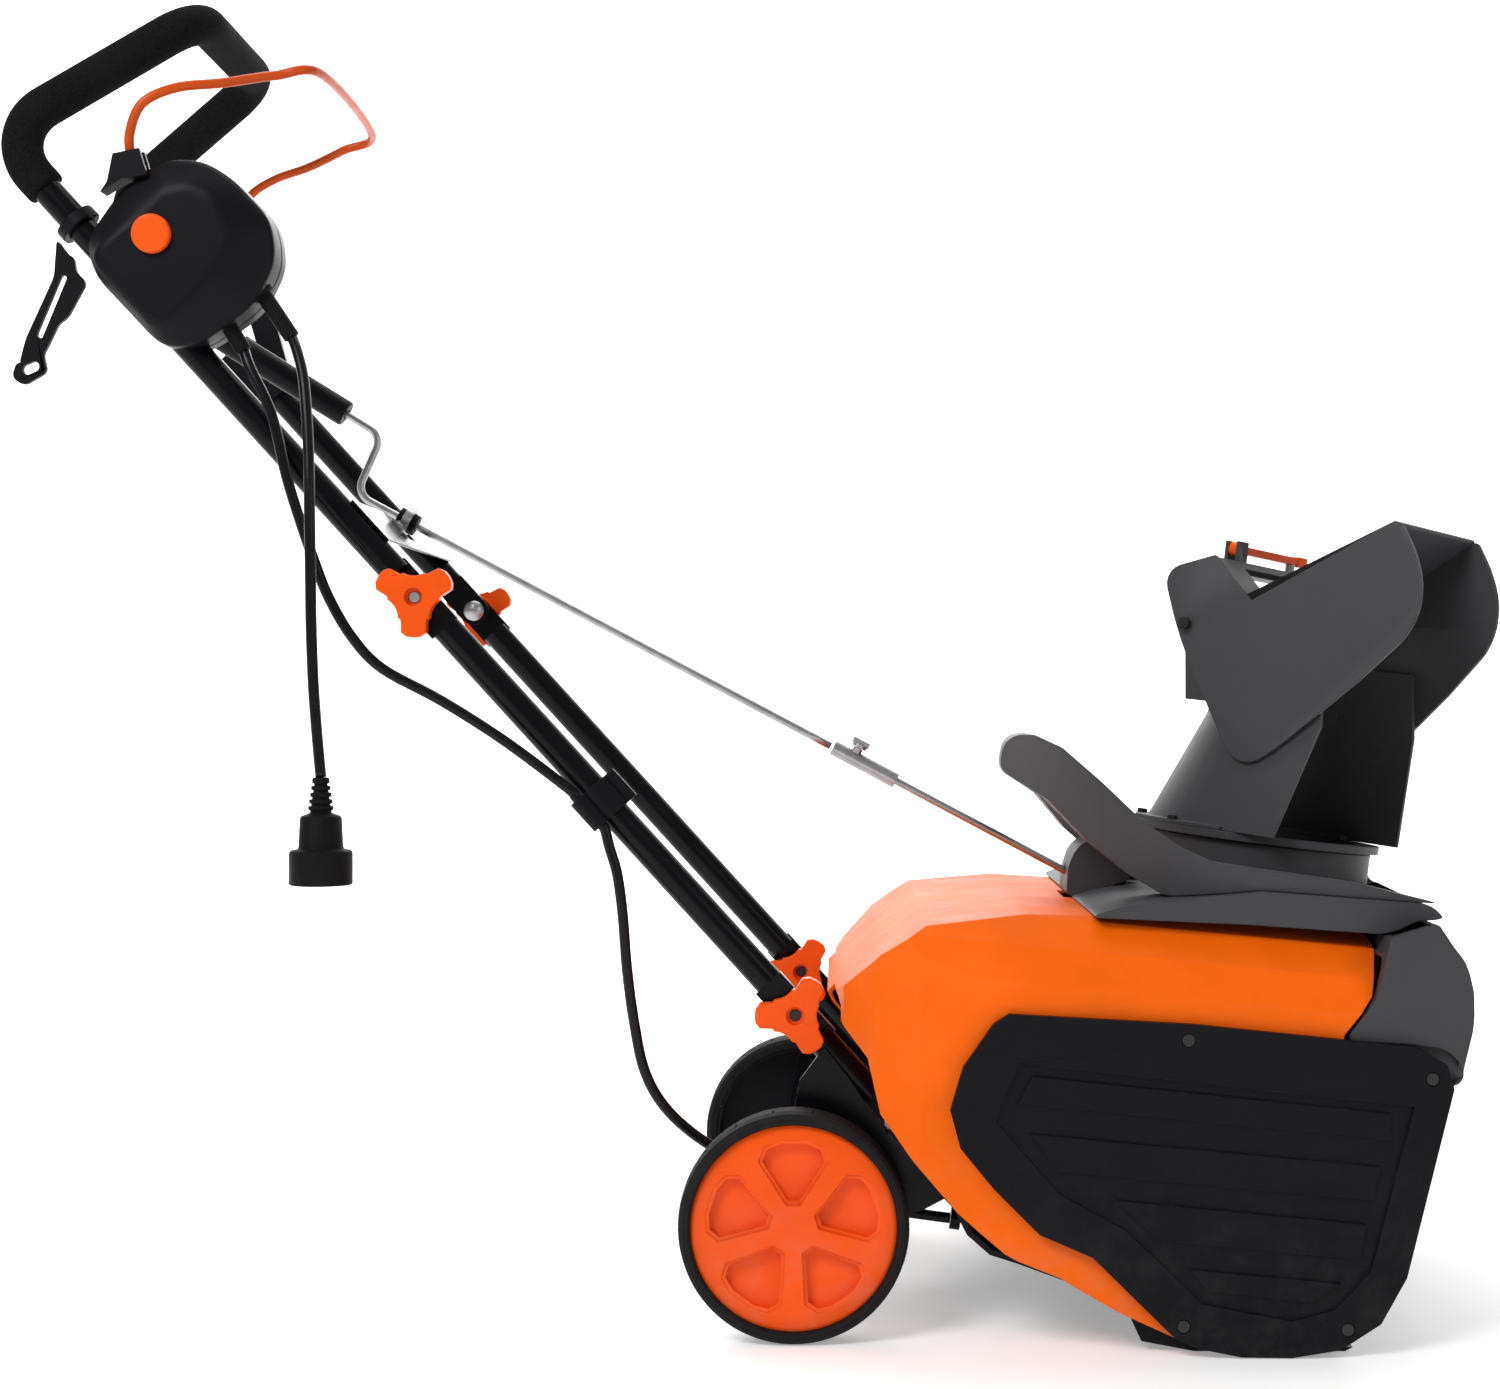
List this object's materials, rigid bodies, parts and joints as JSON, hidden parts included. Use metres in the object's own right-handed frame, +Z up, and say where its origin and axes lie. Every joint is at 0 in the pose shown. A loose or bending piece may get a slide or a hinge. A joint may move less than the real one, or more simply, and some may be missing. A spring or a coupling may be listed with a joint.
{
  "type": "electric snow blower",
  "caption": "Single-stage electric snow blower with a rubber-paddle rotor in a wide scoop, two wheels, a swivelling chute turned by a hand crank, and a folding tube handle.",
  "frame": {"origin": "centre of the machine's footprint on the ground, without the pigtail cord and plug", "axes": "+X forward, +Y to the operator's left, +Z up"},
  "size_m": [1.121, 0.486, 0.9858],
  "materials": {
    "orange_plastic": "satin moulded plastic",
    "orange_gloss": "glossy moulded plastic",
    "orange_metal": "powder coated wire",
    "black_plastic": "fine textured plastic",
    "charcoal_plastic": "fine textured plastic",
    "black_metal": "gloss black powder coat",
    "grey_metal": "satin grey paint",
    "motor_steel": "satin paint",
    "zinc_steel": "zinc plated",
    "bright_steel": "ground",
    "cast_alloy": "as cast",
    "rubber": "matt",
    "foam": "closed-cell foam",
    "tyre": "matt",
    "cable": "satin jacket"
  },
  "bodies": {
    "housing": {"auger_housing": "black_plastic", "motor_shroud": "orange_plastic", "side_cover_right": "black_plastic", "side_cover_left": "black_plastic", "chute_collar": "charcoal_plastic", "carry_handle": "charcoal_plastic", "scraper_bar": "black_plastic", "base_pan": "black_metal", "frame_tubes": "black_metal", "wheel_brackets": "black_metal", "axle_and_washers": "zinc_steel", "motor": "motor_steel", "drive_belt": "rubber", "rotor_bearings": "bright_steel", "housing_fasteners": "zinc_steel"},
    "rotor": {"rotor_shaft": "bright_steel", "rotor_drum": "black_plastic", "rotor_paddles": "rubber", "rotor_pulley": "cast_alloy"},
    "motor_rotor": {"motor_pulley": "bright_steel"},
    "right_wheel": {"wheel_right": "orange_gloss", "tyre_right": "tyre"},
    "left_wheel": {"wheel_left": "orange_gloss", "tyre_left": "tyre"},
    "chute": {"chute_ring": "charcoal_plastic", "chute_body": "charcoal_plastic", "chute_screws": "zinc_steel"},
    "hood": {"chute_hood": "charcoal_plastic"},
    "latch": {"latch_lever": "orange_gloss", "latch_spring": "zinc_steel"},
    "crank_lower": {"lower_crank_rod": "zinc_steel", "rod_coupler": "zinc_steel"},
    "clamp_screw": {"thumb_screw": "zinc_steel"},
    "handle_lower": {"lower_tube_right": "black_metal", "lower_tube_left": "black_metal", "pivot_bolts": "zinc_steel", "cable_clip": "black_plastic", "motor_cable_lower": "cable"},
    "handle_upper": {"upper_handle_tube": "black_metal", "foam_grip": "foam", "cross_brace": "grey_metal", "rod_eye": "zinc_steel", "rod_grommet": "rubber", "switch_box_outer": "black_plastic", "switch_box_inner": "black_plastic", "switch_unit": "black_plastic", "bail_mounts": "black_plastic", "cord_glands": "rubber", "pigtail_cord": "cable", "plug": "rubber", "motor_cable_upper": "cable"},
    "crank_upper": {"upper_crank_rod": "zinc_steel"},
    "crank_knob": {"crank_grip": "black_plastic"},
    "knob_ur": {"knob_upper_right": "orange_gloss"},
    "knob_ul": {"knob_upper_left": "orange_gloss"},
    "knob_lr": {"knob_lower_right": "orange_gloss"},
    "knob_ll": {"knob_lower_left": "orange_gloss"},
    "button": {"lock_button": "orange_gloss"},
    "stop_bail": {"bail": "orange_metal"},
    "hook": {"cord_hook": "black_plastic"}
  },
  "joints": [
    {"name": "rotor_spin", "type": "hinge", "parent": "housing", "child": "rotor", "pos_m": [0.3598, 0, 0.108], "axis": [0, 1, 0], "continuous": true},
    {"name": "motor_spin", "type": "hinge", "parent": "housing", "child": "motor_rotor", "pos_m": [0.1848, 0, 0.19], "axis": [0, 1, 0], "continuous": true},
    {"name": "right_wheel_spin", "type": "hinge", "parent": "housing", "child": "right_wheel", "pos_m": [0.0232, 0, 0.0825], "axis": [0, 1, 0], "continuous": true},
    {"name": "left_wheel_spin", "type": "hinge", "parent": "housing", "child": "left_wheel", "pos_m": [0.0232, 0, 0.0825], "axis": [0, 1, 0], "continuous": true},
    {"name": "chute_swivel", "type": "hinge", "parent": "housing", "child": "chute", "pos_m": [0.3858, 0, 0.35], "axis": [0.1219, 0, 0.9925], "range_deg": [-45, 135]},
    {"name": "hood_tilt", "type": "hinge", "parent": "chute", "child": "hood", "pos_m": [0.3826, 0.02263, 0.50958], "axis": [0.7018, 0.7071, -0.0862], "range_deg": [-30, 0]},
    {"name": "latch_squeeze", "type": "hinge", "parent": "hood", "child": "latch", "pos_m": [0.36934, -0.0099, 0.57569], "axis": [-0.7018, 0.7071, 0.0862], "range_deg": [0, 6], "stiffness_Nm_per_rad": 0.4, "springref_deg": -11.46, "deforming": ["latch_spring"]},
    {"name": "crank_lower_spin", "type": "hinge", "parent": "housing", "child": "crank_lower", "pos_m": [0.2328, 0, 0.3226], "axis": [0.8832, 0, -0.469], "range_deg": [-360, 1080]},
    {"name": "clamp_screw_turn", "type": "hinge", "parent": "crank_lower", "child": "clamp_screw", "pos_m": [0.0668, 0, 0.41076], "axis": [0.4695, 0, 0.8829], "range_deg": [-180, 180]},
    {"name": "lower_fold", "type": "hinge", "parent": "housing", "child": "handle_lower", "pos_m": [0.0238, 0, 0.228], "axis": [0, 1, 0], "range_deg": [-30, 0], "deforming": ["motor_cable_lower"]},
    {"name": "upper_fold", "type": "hinge", "parent": "handle_lower", "child": "handle_upper", "pos_m": [-0.2532, 0, 0.532], "axis": [0, 1, 0], "range_deg": [0, 110], "deforming": ["motor_cable_upper"]},
    {"name": "crank_upper_spin", "type": "hinge", "parent": "handle_upper", "child": "crank_upper", "pos_m": [-0.2862, 0, 0.59823], "axis": [0.8832, 0, -0.469], "range_deg": [-360, 1080]},
    {"name": "crank_grip_spin", "type": "hinge", "parent": "crank_upper", "child": "crank_knob", "pos_m": [-0.3752, 0, 0.70821], "axis": [-0.8513, 0, 0.5246], "continuous": true},
    {"name": "knob_upper_right_turn", "type": "hinge", "parent": "handle_lower", "child": "knob_ur", "pos_m": [-0.2532, -0.16, 0.532], "axis": [0, -1, 0], "continuous": true},
    {"name": "knob_upper_left_turn", "type": "hinge", "parent": "handle_lower", "child": "knob_ul", "pos_m": [-0.2532, 0.16, 0.532], "axis": [0, 1, 0], "continuous": true},
    {"name": "knob_lower_right_turn", "type": "hinge", "parent": "housing", "child": "knob_lr", "pos_m": [0.0238, -0.16, 0.228], "axis": [0, -1, 0], "continuous": true},
    {"name": "knob_lower_left_turn", "type": "hinge", "parent": "housing", "child": "knob_ll", "pos_m": [0.0238, 0.122, 0.228], "axis": [0, -1, 0], "continuous": true},
    {"name": "lock_button_press", "type": "slide", "parent": "handle_upper", "child": "button", "axis": [0, 1, 0], "range_m": [0, 0.004], "stiffness_N_per_m": 800, "springref_m": -0.001},
    {"name": "bail_squeeze", "type": "hinge", "parent": "handle_upper", "child": "stop_bail", "pos_m": [-0.4578, 0, 0.845], "axis": [0, 1, 0], "range_deg": [-40, 0], "stiffness_Nm_per_rad": 0.5, "springref_deg": 34.38},
    {"name": "cord_hook_swing", "type": "hinge", "parent": "handle_upper", "child": "hook", "pos_m": [-0.50375, -0.141, 0.80697], "axis": [-0.6735, 0, 0.7392], "range_deg": [-20, 20]}
  ],
  "couplings": [
    {"joint": "motor_spin", "follows": "rotor_spin", "ratio": 3.2857},
    {"joint": "crank_lower_spin", "follows": "chute_swivel", "ratio": 8},
    {"joint": "crank_upper_spin", "follows": "chute_swivel", "ratio": 8}
  ]
}
